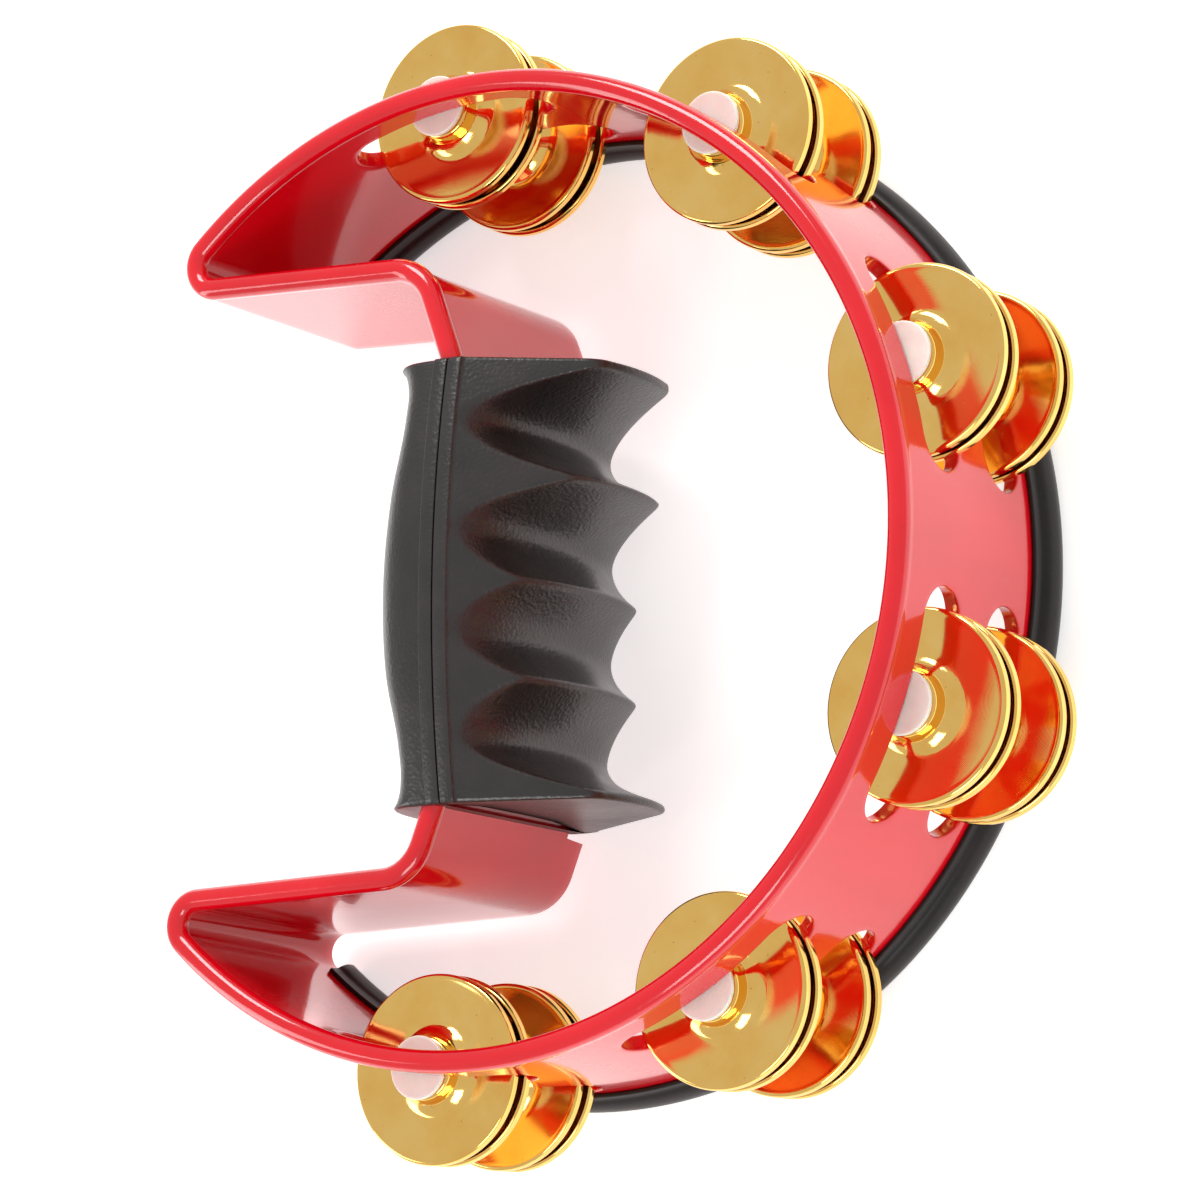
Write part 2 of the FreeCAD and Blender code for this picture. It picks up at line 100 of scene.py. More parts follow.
# ------------------------------------------------------------------ mesh helpers
def lerp(first, second, share):
    return first + (second - first) * share


def new_piece(name, points, faces, look, smooth_angle=None):
    """An object from points in mm and faces; doubled points are joined."""
    mesh = bpy.data.meshes.new(name)
    mesh.from_pydata([tuple(point) for point in np.asarray(points) * MM], [], faces)
    mesh.validate()
    piece = bpy.data.objects.new(name, mesh)
    bpy.context.scene.collection.objects.link(piece)
    mesh.materials.append(look)
    weld(mesh)
    if smooth_angle is None:
        mesh.shade_smooth()
    else:
        mesh.set_sharp_from_angle(angle=math.radians(smooth_angle))
    return piece


def weld(mesh):
    """Joins points closer than 2 micrometres and turns every face outwards."""
    work = bmesh.new()
    work.from_mesh(mesh)
    bmesh.ops.remove_doubles(work, verts=work.verts, dist=MATCH_M)
    bmesh.ops.recalc_face_normals(work, faces=work.faces)
    for face in work.faces:
        face.smooth = True
    work.to_mesh(mesh)
    work.free()


class Grids:
    """Collects rectangular grids of points into one mesh."""

    def __init__(self):
        self.points = []
        self.faces = []

    def add(self, grid, wrap=False):
        """grid is rows x columns x 3; wrap joins the last column to the first."""
        grid = np.asarray(grid, dtype=float)
        rows, columns = grid.shape[:2]
        start = len(self.points)
        self.points.extend(grid.reshape(-1, 3))
        last = columns if wrap else columns - 1
        for row in range(rows - 1):
            for column in range(last):
                following = (column + 1) % columns
                low = start + row * columns
                high = low + columns
                self.faces.append((low + column, low + following,
                                   high + following, high + column))

    def piece(self, name, look, smooth_angle=None):
        return new_piece(name, self.points, self.faces, look, smooth_angle)


def arc_points(centre, radius, start, end, count):
    """Points on an arc in a plane, angles in degrees."""
    turn = np.radians(np.linspace(start, end, count + 1))
    return np.column_stack((centre[0] + radius * np.cos(turn), centre[1] + radius * np.sin(turn)))


def rounded(centre, radius, start, end, count):
    """The same points as a list of pairs."""
    return [tuple(point) for point in arc_points(centre, radius, start, end, count)]


def smooth_table(table, places):
    """Cubic interpolation through (place, value) pairs, straight at both ends."""
    table = sorted(table)
    xs = np.array([row[0] for row in table])
    ys = np.array([row[1] for row in table])
    slopes = np.gradient(ys, xs)
    slopes[0] = (ys[1] - ys[0]) / (xs[1] - xs[0])
    slopes[-1] = (ys[-1] - ys[-2]) / (xs[-1] - xs[-2])
    index = np.clip(np.searchsorted(xs, places) - 1, 0, len(xs) - 2)
    width = xs[index + 1] - xs[index]
    share = np.clip((places - xs[index]) / width, 0, 1)
    return ((1 + 2 * share) * (1 - share) ** 2 * ys[index]
            + share * (1 - share) ** 2 * width * slopes[index]
            + share ** 2 * (3 - 2 * share) * ys[index + 1]
            + share ** 2 * (share - 1) * width * slopes[index + 1])


# ------------------------------------------------------------------ materials
def shader(name, colour, roughness, **settings):
    """A material with its Principled shader set up; returns both."""
    material = bpy.data.materials.new(name)
    material.use_nodes = True
    principled = material.node_tree.nodes["Principled BSDF"]
    principled.inputs["Base Color"].default_value = (*colour, 1)
    principled.inputs["Roughness"].default_value = roughness
    for socket, value in settings.items():
        principled.inputs[socket].default_value = value
    return material, principled


class Nodes:
    """Short calls for building a node tree."""

    def __init__(self, material):
        self.tree = material.node_tree
        coordinates = self.tree.nodes.new("ShaderNodeTexCoord")
        self.place = coordinates.outputs["Object"]

    def link(self, first, second):
        self.tree.links.new(first, second)

    def scaled(self, scale, turn=(0, 0, 0)):
        mapping = self.tree.nodes.new("ShaderNodeMapping")
        mapping.inputs["Scale"].default_value = scale
        mapping.inputs["Rotation"].default_value = turn
        self.link(self.place, mapping.inputs["Vector"])
        return mapping.outputs["Vector"]

    def noise(self, scale, detail=4.0, roughness=0.55, vector=None, distortion=0.0):
        node = self.tree.nodes.new("ShaderNodeTexNoise")
        node.inputs["Scale"].default_value = scale
        node.inputs["Detail"].default_value = detail
        node.inputs["Roughness"].default_value = roughness
        node.inputs["Distortion"].default_value = distortion
        self.link(vector or self.place, node.inputs["Vector"])
        return node.outputs["Fac"]

    def cells(self, scale, feature="F1"):
        node = self.tree.nodes.new("ShaderNodeTexVoronoi")
        node.feature = feature
        node.inputs["Scale"].default_value = scale
        self.link(self.place, node.inputs["Vector"])
        return node.outputs["Distance"]

    def rings(self, scale, distortion, detail=2.0):
        """Turning marks: rings round the piece's own Z axis."""
        node = self.tree.nodes.new("ShaderNodeTexWave")
        node.wave_type = "RINGS"
        node.rings_direction = "Z"
        node.inputs["Scale"].default_value = scale
        node.inputs["Distortion"].default_value = distortion
        node.inputs["Detail"].default_value = detail
        self.link(self.place, node.inputs["Vector"])
        return node.outputs["Fac"]

    def ramp(self, value, stops):
        node = self.tree.nodes.new("ShaderNodeValToRGB")
        elements = node.color_ramp.elements
        while len(elements) < len(stops):
            elements.new(0.5)
        for element, (place, colour) in zip(elements, stops):
            element.position = place
            if isinstance(colour, (int, float)):
                colour = (colour, colour, colour)
            element.color = (*colour, 1)
        self.link(value, node.inputs["Fac"])
        return node.outputs["Color"]

    def maths(self, operation, first, second):
        node = self.tree.nodes.new("ShaderNodeMath")
        node.operation = operation
        for socket, value in zip(node.inputs, (first, second)):
            if isinstance(value, (int, float)):
                socket.default_value = value
            else:
                self.link(value, socket)
        return node.outputs["Value"]

    def spread(self, value, amount, base):
        """A value from 0 to 1 spread by an amount over a base."""
        return self.maths("ADD", self.maths("MULTIPLY", value, amount), base)

    def mixed(self, share, first, second):
        node = self.tree.nodes.new("ShaderNodeMix")
        node.data_type = "RGBA"
        sockets = node.inputs
        for socket, value in ((sockets[0], share), (sockets[6], first), (sockets[7], second)):
            if isinstance(value, (int, float)):
                socket.default_value = value
            elif isinstance(value, tuple):
                socket.default_value = (*value, 1)
            else:
                self.link(value, socket)
        return node.outputs[2]

    def bump(self, height, distance, strength=1.0, under=None):
        node = self.tree.nodes.new("ShaderNodeBump")
        node.inputs["Strength"].default_value = strength
        node.inputs["Distance"].default_value = distance
        self.link(height, node.inputs["Height"])
        if under is not None:
            self.link(under, node.inputs["Normal"])
        return node.outputs["Normal"]

    def pointiness(self):
        return self.tree.nodes.new("ShaderNodeNewGeometry").outputs["Pointiness"]


def red_plastic():
    """Glossy moulded plastic: faint flow streaks, orange peel and fine scuffs."""
    material, out = shader("red_plastic_gloss", (0.78, 0.003, 0.014), 0.14,
                           **{"Coat Weight": 0.5, "Coat Roughness": 0.04, "IOR": 1.49})
    nodes = Nodes(material)
    flow = nodes.noise(22, 3, 0.5, nodes.scaled((1, 1, 0.35)), 0.8)
    colour = nodes.ramp(flow, [(0.3, (0.64, 0.0009, 0.008)), (0.55, (0.73, 0.0019, 0.011)),
                               (0.8, (0.80, 0.0040, 0.016))])
    scuffs = nodes.noise(420, 6, 0.75, nodes.scaled((1, 1, 0.18), turn=(0.3, 0.2, 0.0)))
    worn = nodes.ramp(scuffs, [(0.62, 0.0), (0.74, 1.0)])
    nodes.link(nodes.mixed(nodes.maths("MULTIPLY", worn, 0.10), colour, (0.85, 0.10, 0.11)),
               out.inputs["Base Color"])
    patch = nodes.noise(60, 4, 0.6)
    rough = nodes.spread(worn, 0.10, nodes.spread(patch, 0.12, 0.07))
    nodes.link(rough, out.inputs["Roughness"])
    peel = nodes.bump(nodes.noise(260, 2, 0.5), 0.00012, 0.25)
    scratch = nodes.bump(worn, 0.00003, 0.25, peel)
    nodes.link(scratch, out.inputs["Normal"])
    return material


def brass():
    """Spun and lacquered brass: fine rings, pits, tarnish specks and soft waves."""
    material, out = shader("spun_brass", (0.87, 0.60, 0.20), 0.12, **{"Metallic": 1.0})
    nodes = Nodes(material)
    tone = nodes.noise(55, 5, 0.6)
    colour = nodes.ramp(tone, [(0.3, (0.95, 0.54, 0.125)), (0.55, (1.0, 0.63, 0.180)),
                               (0.8, (1.0, 0.70, 0.250))])
    pits = nodes.ramp(nodes.cells(520), [(0.05, 1.0), (0.13, 0.0)])
    chosen = nodes.ramp(nodes.noise(300, 2, 0.5), [(0.56, 0.0), (0.62, 1.0)])
    specks = nodes.maths("MULTIPLY", pits, chosen)
    nodes.link(nodes.mixed(nodes.maths("MULTIPLY", specks, 0.75), colour, (0.30, 0.13, 0.03)),
               out.inputs["Base Color"])
    rings = nodes.rings(900, 1.5, 3)
    rough = nodes.spread(nodes.noise(90, 4, 0.6), 0.12, 0.03)
    nodes.link(nodes.spread(specks, 0.35, rough), out.inputs["Roughness"])
    wave = nodes.bump(nodes.noise(45, 2, 0.4), 0.0006, 0.35)
    turned = nodes.bump(rings, 0.000012, 0.20, wave)
    pitted = nodes.bump(specks, 0.00012, -0.5, turned)
    nodes.link(pitted, out.inputs["Normal"])
    return material


def nylon():
    """Milky moulded nylon with turning marks and a little see-through glow."""
    material, out = shader("milky_nylon", (0.86, 0.80, 0.77), 0.42,
                           **{"Subsurface Weight": 0.35, "Subsurface Scale": 0.002, "IOR": 1.53})
    nodes = Nodes(material)
    tone = nodes.noise(160, 4, 0.6)
    nodes.link(nodes.ramp(tone, [(0.3, (0.90, 0.86, 0.78)), (0.7, (0.98, 0.96, 0.88))]),
               out.inputs["Base Color"])
    rings = nodes.rings(700, 1.0)
    nodes.link(nodes.spread(tone, 0.25, 0.30), out.inputs["Roughness"])
    grain = nodes.bump(nodes.noise(900, 3, 0.6), 0.00005, 0.35)
    nodes.link(nodes.bump(rings, 0.00003, 0.25, grain), out.inputs["Normal"])
    return material


def grip_rubber():
    """Moulded rubber with fine leather grain, unevenly dull, greyed on edges."""
    material, out = shader("grained_rubber", (0.010, 0.007, 0.006), 0.36,
                           **{"Specular IOR Level": 0.80})
    nodes = Nodes(material)
    tone = nodes.noise(70, 5, 0.6)
    colour = nodes.ramp(tone, [(0.3, (0.006, 0.004, 0.0035)), (0.7, (0.016, 0.010, 0.0085))])
    edge = nodes.ramp(nodes.pointiness(), [(0.53, 0.0), (0.60, 1.0)])
    dust = nodes.ramp(nodes.noise(800, 3, 0.7), [(0.62, 0.0), (0.75, 1.0)])
    wear = nodes.spread(edge, 0.30, nodes.maths("MULTIPLY", dust, 0.10))
    nodes.link(nodes.mixed(wear, colour, (0.06, 0.046, 0.040)), out.inputs["Base Color"])
    nodes.link(nodes.spread(tone, 0.20, 0.24), out.inputs["Roughness"])
    leather = nodes.bump(nodes.cells(1150, "SMOOTH_F1"), 0.00022, 0.45)
    waves = nodes.bump(nodes.noise(240, 3, 0.5), 0.0003, 0.18, leather)
    nodes.link(waves, out.inputs["Normal"])
    return material


def bumper_rubber():
    """Extruded rubber: draw lines along the edge, faint bloom and fine grain."""
    material, out = shader("extruded_rubber", (0.012, 0.009, 0.009), 0.38,
                           **{"Specular IOR Level": 0.3})
    nodes = Nodes(material)
    tone = nodes.noise(50, 5, 0.6)
    bloom = nodes.ramp(nodes.noise(600, 4, 0.7), [(0.60, 0.0), (0.78, 1.0)])
    colour = nodes.ramp(tone, [(0.3, (0.008, 0.006, 0.006)), (0.7, (0.020, 0.016, 0.015))])
    nodes.link(nodes.mixed(nodes.maths("MULTIPLY", bloom, 0.20), colour, (0.09, 0.08, 0.075)),
               out.inputs["Base Color"])
    nodes.link(nodes.spread(tone, 0.25, 0.24), out.inputs["Roughness"])
    lines = nodes.noise(900, 2, 0.5, nodes.scaled((0.03, 0.03, 1.0)))
    grain = nodes.bump(nodes.noise(1500, 3, 0.6), 0.00006, 0.4)
    nodes.link(nodes.bump(lines, 0.00008, 0.25, grain), out.inputs["Normal"])
    return material


def pin_steel():
    """Drawn steel wire: lines along the pin and small stains."""
    material, out = shader("drawn_steel", (0.56, 0.55, 0.54), 0.3, **{"Metallic": 1.0})
    nodes = Nodes(material)
    tone = nodes.noise(300, 4, 0.6)
    nodes.link(nodes.ramp(tone, [(0.3, (0.42, 0.40, 0.38)), (0.7, (0.66, 0.65, 0.64))]),
               out.inputs["Base Color"])
    lines = nodes.noise(2500, 3, 0.6, nodes.scaled((1, 1, 0.02)))
    nodes.link(nodes.spread(lines, 0.3, 0.15), out.inputs["Roughness"])
    nodes.link(nodes.bump(lines, 0.00003, 0.4), out.inputs["Normal"])
    return material


def studio_floor():
    """Seamless white paper: nearly even, with a trace of fibre."""
    material, out = shader("studio_paper", (0.82, 0.82, 0.82), 0.95,
                           **{"Emission Color": (1, 1, 1, 1), "Emission Strength": 0.62})
    nodes = Nodes(material)
    nodes.link(nodes.ramp(nodes.noise(40, 3, 0.5), [(0.2, 0.81), (0.8, 0.83)]),
               out.inputs["Base Color"])
    return material


# ------------------------------------------------------------------ frame
def unit(vector):
    return vector / np.hypot(*vector)


def corner_arc(corner, before, after, radius, count):
    """Samples (point, direction) of the arc that rounds a right-hand corner."""
    turn = math.acos(float(np.clip(np.dot(before, after), -1, 1)))
    start = corner - before * radius * math.tan(turn / 2)
    centre = start + np.array((before[1], -before[0])) * radius
    samples = []
    for share in np.linspace(0, 1, count + 1):
        angle = -turn * share
        spin = np.array(((math.cos(angle), -math.sin(angle)), (math.sin(angle), math.cos(angle))))
        samples.append((centre + spin @ (start - centre), spin @ before))
    return samples


def straight(first, second, count):
    """Samples (point, direction) along a straight stretch."""
    way = unit(second - first)
    return [(lerp(first, second, share), way) for share in np.linspace(0, 1, count + 1)]


def outline():
    """Samples (point, outward normal) of the half outline past the last slot cell."""
    slope = math.radians(ARM_SLOPE)
    along = np.array((math.cos(slope), -math.sin(slope)))
    down_arm = unit(HANDLE - ARM_BEND)
    down = np.array((0.0, -1.0))
    normal = np.array((-along[1], along[0]))
    level = float(np.dot(normal, ARM_BEND)) + TIP
    tip = normal * level - along * math.sqrt((RIM - TIP) ** 2 - level ** 2)
    tip_angle = math.degrees(math.atan2(tip[1], tip[0]))
    samples = []

    def arc(centre, radius, start, end, count):
        for angle in np.radians(np.linspace(start, end, count + 1)):
            way = np.array((-math.sin(angle), math.cos(angle)))
            samples.append((centre + radius * np.array((way[1], -way[0])), way))

    arc(np.zeros(2), RIM, STATIONS[-1] + HALF_CELL, tip_angle, 18)
    arc(tip, TIP, tip_angle, 270 - ARM_SLOPE, 28)
    bend = corner_arc(ARM_BEND, along, down_arm, ARM_BEND_R, 18)
    handle = corner_arc(HANDLE, down_arm, down, HANDLE_R, 14)
    samples += straight(samples[-1][0], bend[0][0], 24)
    samples += bend
    samples += straight(bend[-1][0], handle[0][0], 26)
    samples += handle
    samples += straight(handle[-1][0], np.array((HANDLE[0], 0.0)), 16)
    kept = [samples[0]]
    for sample in samples[1:]:
        if np.hypot(*(sample[0] - kept[-1][0])) > 1e-4:
            kept.append(sample)
    points = np.array([point for point, way in kept])
    normals = np.array([(way[1], -way[0]) for point, way in kept])
    return points, normals


def flare(z):
    """How much wider than at the bead the band's outline is at a height."""
    return 1 + FLARE * np.clip((BEAD_Z - z) / (BEAD_Z - BACK_Z), 0, None)


def placed(points, normals, offset, z):
    """Points of the wall at an offset from the outline and a height.

    Inside the grip the handle web is cut back, so its points stay above WEB_BACK.
    """
    flat = (points + normals * offset) * flare(z)
    inside = (points[:, 1] > GRIP_BOTTOM - NOTCH_GAP) & (points[:, 1] < GRIP_TOP + NOTCH_GAP)
    inside &= np.abs(points[:, 0]) < WEB_REACH
    return np.column_stack((flat, np.where(inside, np.maximum(z, WEB_BACK), z)))


def bead_section():
    """(offset, z) round the bead, from its outside foot to its inside foot."""
    start = math.degrees(math.asin(-math.sqrt(BEAD ** 2 - OUTSIDE ** 2) / BEAD))
    end = 180 + math.degrees(math.asin(math.sqrt(BEAD ** 2 - INSIDE ** 2) / BEAD))
    return arc_points((0, BEAD_Z), BEAD, start, end, 30)


def back_section():
    """(offset, z) round the back edge, from the inside wall to the outside wall."""
    height = BACK_Z + BACK_EDGE
    inner = arc_points((-INSIDE + BACK_EDGE, height), BACK_EDGE, 180, 270, 4)
    outer = arc_points((OUTSIDE - BACK_EDGE, height), BACK_EDGE, 270, 360, 4)
    return np.vstack(([(-INSIDE, CELL_Z[0])], inner, outer, [(OUTSIDE, CELL_Z[0])]))


def front_section():
    """(offset, z) from the top of the cells over the bead and back."""
    bead = bead_section()
    return np.vstack(([(OUTSIDE, CELL_Z[2])], [(OUTSIDE, lerp(CELL_Z[2], bead[0][1], 0.6))], bead,
                      [(-INSIDE, CELL_Z[2])]))


def wall_levels():
    """Heights of the rows of points up the plain parts of the wall."""
    rows = [np.linspace(low, high, CELL_SIDE + 1) for low, high in zip(CELL_Z, CELL_Z[1:])]
    return np.concatenate((rows[0], rows[1][1:]))


def cell_ring(reach, radius, middle):
    """Slot outline grown to a radius: (across, z) of every point round the slot."""
    quarter = CELL_TOP // 4 + CELL_SIDE // 2
    half_straight = CELL_TOP // 4
    points = []
    for index in range(half_straight):
        points.append((reach * index / half_straight, radius))
    for index in range(quarter):
        turn = math.pi / 2 * index / quarter
        points.append((reach + radius * math.sin(turn), radius * math.cos(turn)))
    first = np.array(points)
    second = np.array([(reach + radius, 0.0)] + [(x, -z) for x, z in points[:0:-1]])
    right = np.vstack((first, second))
    left = np.vstack(([(0.0, -radius)], [(-x, z) for x, z in right[:0:-1]]))
    ring = np.vstack((right, left))
    ring[:, 1] += middle
    return ring


def cell_border(low, high):
    """The cell's edge as (angle from its station, z), matching cell_ring's points."""
    across = HALF_CELL
    half_top = CELL_TOP // 2
    points = []
    for index in range(half_top):
        points.append((across * index / half_top, high))
    for index in range(CELL_SIDE):
        points.append((across, lerp(high, low, index / CELL_SIDE)))
    for index in range(half_top):
        points.append((across * (1 - index / half_top), low))
    for index in range(half_top):
        points.append((-across * index / half_top, low))
    for index in range(CELL_SIDE):
        points.append((-across, lerp(low, high, index / CELL_SIDE)))
    for index in range(half_top):
        points.append((-across * (1 - index / half_top), high))
    return np.array(points)


def on_wall(station, angles, z, offset):
    """3-D points of the rim's wall at angles from a station, heights and offsets."""
    turn = np.radians(station + angles)
    radius = (RIM + offset) * flare(z)
    return np.column_stack((radius * np.cos(turn), radius * np.sin(turn), z))


def ring_angles(ring, offset):
    """Angles from its station of a slot's outline on one skin of the wall."""
    radius = (RIM + offset) * flare(ring[:, 1])
    return np.degrees(np.arcsin(ring[:, 0] / radius))


def add_cell(grids, station, middle, low, high):
    """One slot with rounded edges in its piece of both walls."""
    border = cell_border(low, high)
    rows = []
    for skin, sign in ((OUTSIDE, -1), (-INSIDE, 1)):
        ring = cell_ring(SLOT_REACH, SLOT_R + SLOT_EDGE, middle)
        angles = ring_angles(ring, skin)
        outer = []
        for share in reversed(CELL_SHARES):
            place = lerp(angles, border[:, 0], share)
            height = lerp(ring[:, 1], border[:, 1], share)
            outer.append(on_wall(station, place, height, skin))
        edge = []
        for turn in np.radians((18, 36, 54, 72, 90)):
            grown = SLOT_EDGE * (1 - math.sin(turn))
            depth = skin + sign * SLOT_EDGE * (1 - math.cos(turn))
            ring = cell_ring(SLOT_REACH, SLOT_R + grown, middle)
            edge.append(on_wall(station, ring_angles(ring, depth), ring[:, 1], depth))
        rows.append(outer + edge)
    grids.add(rows[0] + rows[1][::-1], wrap=True)


def make_frame(look):
    """The band with its bead, slots and tips, the two arms and the handle web."""
    grids = Grids()
    points, normals = outline()
    flip = np.array((1, -1))
    levels = wall_levels()
    back = back_section()
    front = front_section()
    for mirror in (np.array((1, 1)), flip):
        spots = points * mirror
        ways = normals * mirror
        grids.add([placed(spots, ways, OUTSIDE, z) for z in levels])
        grids.add([placed(spots, ways, -INSIDE, z) for z in levels])
        grids.add([placed(spots, ways, offset, z) for offset, z in back])
        grids.add([placed(spots, ways, offset, z) for offset, z in front])
    for station in STATIONS:
        for low, high, middle in ((CELL_Z[0], CELL_Z[1], ROWS["low"]),
                                  (CELL_Z[1], CELL_Z[2], ROWS["high"])):
            add_cell(grids, station, middle, low, high)
        angles = np.linspace(-HALF_CELL, HALF_CELL, CELL_TOP + 1)
        turn = np.radians(station + angles)
        spots = RIM * np.column_stack((np.cos(turn), np.sin(turn)))
        ways = spots / RIM
        grids.add([placed(spots, ways, offset, z) for offset, z in back])
        grids.add([placed(spots, ways, offset, z) for offset, z in front])
    shift(grids)
    piece = grids.piece("frame_moulding", look, 40)
    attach(piece, "root")
    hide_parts("frame")
    return piece


def shift(grids):
    """From the arc's own axis to the instrument's origin, a hair inside the CAD box."""
    grids.points = [(point + np.array((ARC_CENTRE, 0, 0))) * FIT for point in grids.points]


# ------------------------------------------------------------------ bumper
BUMPER_CENTRE = 127.9
BUMPER_R = 6.0
BUMPER_FLAT = 5.7
BUMPER_LIP = 13.0
LIP = 1.3
LIP_CROWN = 0.45
BUMPER_HALF = 131.0
BUMPER_END = 0.5
BUMPER_GAP = 0.1
BUMPER_STEPS = 260


def bumper_section():
    """(radius, z) round the bulb, its two lips and the groove for the wall."""
    def wall(offset, z):
        return (RIM + offset) * float(flare(z))

    def bulb_height(radius):
        return BUMPER_FLAT + math.sqrt(BUMPER_R ** 2 - (radius - BUMPER_CENTRE) ** 2)

    outer = wall(OUTSIDE, BUMPER_LIP)
    inner = wall(-INSIDE, BUMPER_LIP)
    outer_lip = outer + LIP
    inner_lip = inner - LIP
    foot = math.degrees(math.asin(-BUMPER_FLAT / BUMPER_R))
    out_turn = math.degrees(math.atan2(bulb_height(outer_lip) - BUMPER_FLAT,
                                       outer_lip - BUMPER_CENTRE))
    in_turn = math.degrees(math.atan2(bulb_height(inner_lip) - BUMPER_FLAT,
                                      inner_lip - BUMPER_CENTRE))
    centre = (BUMPER_CENTRE, BUMPER_FLAT)
    right = rounded(centre, BUMPER_R, foot + 4, out_turn - 6, 22)
    left = rounded(centre, BUMPER_R, in_turn + 6, 180 - foot - 4, 22)
    sag = math.sqrt(BUMPER_R ** 2 - BUMPER_FLAT ** 2)
    crown = LIP_CROWN
    path = [(BUMPER_CENTRE + sag * share, 0.0) for share in (-0.9, -0.45, 0, 0.45, 0.9)]
    path += right
    path += [(outer_lip + 0.08, bulb_height(outer_lip) + 0.35)]
    path += rounded((outer_lip - crown, BUMPER_LIP - crown), crown, 0, 90, 4)
    path += rounded((outer + 0.4, BUMPER_LIP - 0.3), 0.3, 90, 180, 3)
    path += [(wall(OUTSIDE, BACK_Z) + BUMPER_GAP, BACK_Z - BUMPER_GAP),
             (wall(-INSIDE, BACK_Z) - BUMPER_GAP, BACK_Z - BUMPER_GAP)]
    path += rounded((inner - 0.4, BUMPER_LIP - 0.3), 0.3, 0, 90, 3)
    path += rounded((inner_lip + crown, BUMPER_LIP - crown), crown, 90, 180, 4)
    path += [(inner_lip - 0.08, bulb_height(inner_lip) + 0.35)]
    path += left
    return np.array(path)


def make_bumper(look):
    """The channel swept round the band's back edge, with slightly rounded ends."""
    section = bumper_section()
    middle = np.array((BUMPER_CENTRE, BUMPER_FLAT - 1.5))
    grids = Grids()
    rows = []
    edge_angle = math.degrees(BUMPER_END / BUMPER_CENTRE)
    # angle round the arc, and the section's size there as a share of the full one
    steps = [(-BUMPER_HALF, 0.0), (-BUMPER_HALF, 0.90), (-BUMPER_HALF + edge_angle * 0.3, 0.965),
             (-BUMPER_HALF + edge_angle, 1.0)]
    inner = np.linspace(-BUMPER_HALF + edge_angle, BUMPER_HALF - edge_angle, BUMPER_STEPS)[1:-1]
    steps += [(angle, 1.0) for angle in inner]
    steps += [(-angle, share) for angle, share in reversed(steps[:4])]
    for angle, share in steps:
        turn = math.radians(angle)
        shape = middle + (section - middle) * share
        rows.append(np.column_stack((shape[:, 0] * math.cos(turn), shape[:, 0] * math.sin(turn),
                                     shape[:, 1])))
    grids.add(rows, wrap=True)
    shift(grids)
    piece = grids.piece("bumper_channel", look, 50)
    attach(piece, "root")
    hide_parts("edge_bumper")
    return piece


# ------------------------------------------------------------------ grip
GRIP_MIDDLE = 44.0
GRIP_FRONT = 79.3
FRONT_SWELL = 5.2
GRIP_BACK = 10.6
BACK_SWELL = 2.6
SEAM = -1.5
SEAM_GAP = 0.15
LIP_WIDTH = 4.0
LIP_RISE = 1.3
FINGER_CORNER = (33.6, 17.0)
FINGER_REACH = 35.8
# the finger grooves are parts of ellipses round this line, wider towards the crests
GROOVE_AXIS = -6.0
GROOVE_FLOOR = 17.5
GROOVE_DEEPER = 5.5
GROOVE_BLEND = 1.2
# crests between the grooves: place along the handle, height over the grooves' floor
CRESTS = ((50.6, 28.0), (21.0, 22.3), (-5.2, 12.6), (-30.2, 13.2), (-58.4, 26.0))
SCOOP_POWER = 1.75
CREST_ROUNDING = 0.7
CREST_STEPS = 1200
SMOOTHING_STEPS = 30
CORNER_ROUNDING = 4.0
TOP_SLANT = 0.6
BOTTOM_SLANT = 1.6
FINGER_ROWS = 260
FINGER_POINTS = 150
PALM_ROWS = 200
PALM_POINTS = 110
SEAM_CROWN = 0.35
SEAM_DEPTH = 3.0
END_ROUNDING = 0.9
END_CROWDING = 0.35
# how far the palm half reaches from the seam's plane, along the handle
PALM_REACH = ((GRIP_TOP, 23.0), (49.8, 20.6), (46.0, 18.9), (38.0, 18.9), (18.0, 23.0),
              (-6.0, 25.0), (-28.0, 23.6), (-46.0, 19.2), (-54.0, 18.9), (-58.8, 20.6),
              (GRIP_BOTTOM, 23.0))
PALM_SIDE_POWER = 0.62
PALM_FRONT_POWER = 0.8


def seam_levels(y):
    """Front and back height of the grip's seam."""
    middle = (GRIP_TOP + GRIP_BOTTOM) / 2
    half = (GRIP_TOP - GRIP_BOTTOM) / 2
    bulge = np.clip(1 - ((y - middle) / half) ** 2, 0, 1)
    return GRIP_FRONT + FRONT_SWELL * bulge, GRIP_BACK - BACK_SWELL * bulge


def groove_height(y):
    """Height of the grooved side over the grooves' floor, scooped between crests."""
    fine = np.linspace(GRIP_BOTTOM - 3, GRIP_TOP + 3, CREST_STEPS)
    height = np.full_like(fine, CRESTS[0][1])
    height[fine < CRESTS[-1][0]] = CRESTS[-1][1]
    for (top, high), (bottom, low) in zip(CRESTS, CRESTS[1:]):
        inside = (fine <= top) & (fine >= bottom)
        off = (fine - (top + bottom) / 2) / ((top - bottom) / 2)
        side = np.where(off > 0, high, low)
        height = np.where(inside, side * np.abs(off) ** SCOOP_POWER, height)
    reach = np.arange(-SMOOTHING_STEPS, SMOOTHING_STEPS + 1) * (fine[1] - fine[0])
    kernel = np.exp(-(reach / CREST_ROUNDING) ** 2 / 2)
    padded = np.pad(height, SMOOTHING_STEPS, mode="edge")
    height = np.convolve(padded, kernel / kernel.sum(), mode="valid")
    return np.interp(y, fine, height)


def soft_min(first, second, blend):
    """The lesser of two values with a rounded change-over."""
    gap = np.clip(blend - np.abs(first - second), 0, None) / blend
    return np.minimum(first, second) - gap ** 2 * blend / 4


def bent(first, corner, last, share):
    """A point of the curve that rounds a corner between two points."""
    return (1 - share) ** 2 * first + 2 * share * (1 - share) * corner + share ** 2 * last


